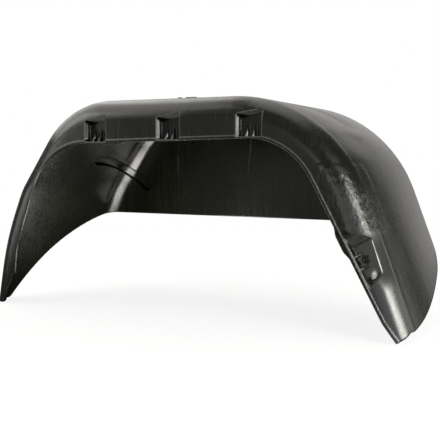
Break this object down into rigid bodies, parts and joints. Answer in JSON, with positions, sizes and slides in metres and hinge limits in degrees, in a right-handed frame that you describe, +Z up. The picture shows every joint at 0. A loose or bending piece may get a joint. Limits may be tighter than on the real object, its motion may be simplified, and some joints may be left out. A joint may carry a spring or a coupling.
{
  "type": "wheel arch liner",
  "caption": "Moulded plastic wheel arch liner: a shell that covers the top, both ends and the inner side of a wheel, with screw pockets along its front lip.",
  "frame": {"origin": "on the axis of the middle crown screw hole, at the top of its pocket floor", "axes": "+X along the vehicle towards the leg with the screw pad, +Y inboard from the front skirt to the inner wall, +Z up"},
  "size_m": [0.7958, 0.327, 0.3667],
  "materials": {
    "black_plastic": "satin"
  },
  "bodies": {
    "root": {"liner_shell": "black_plastic"}
  },
  "joints": []
}
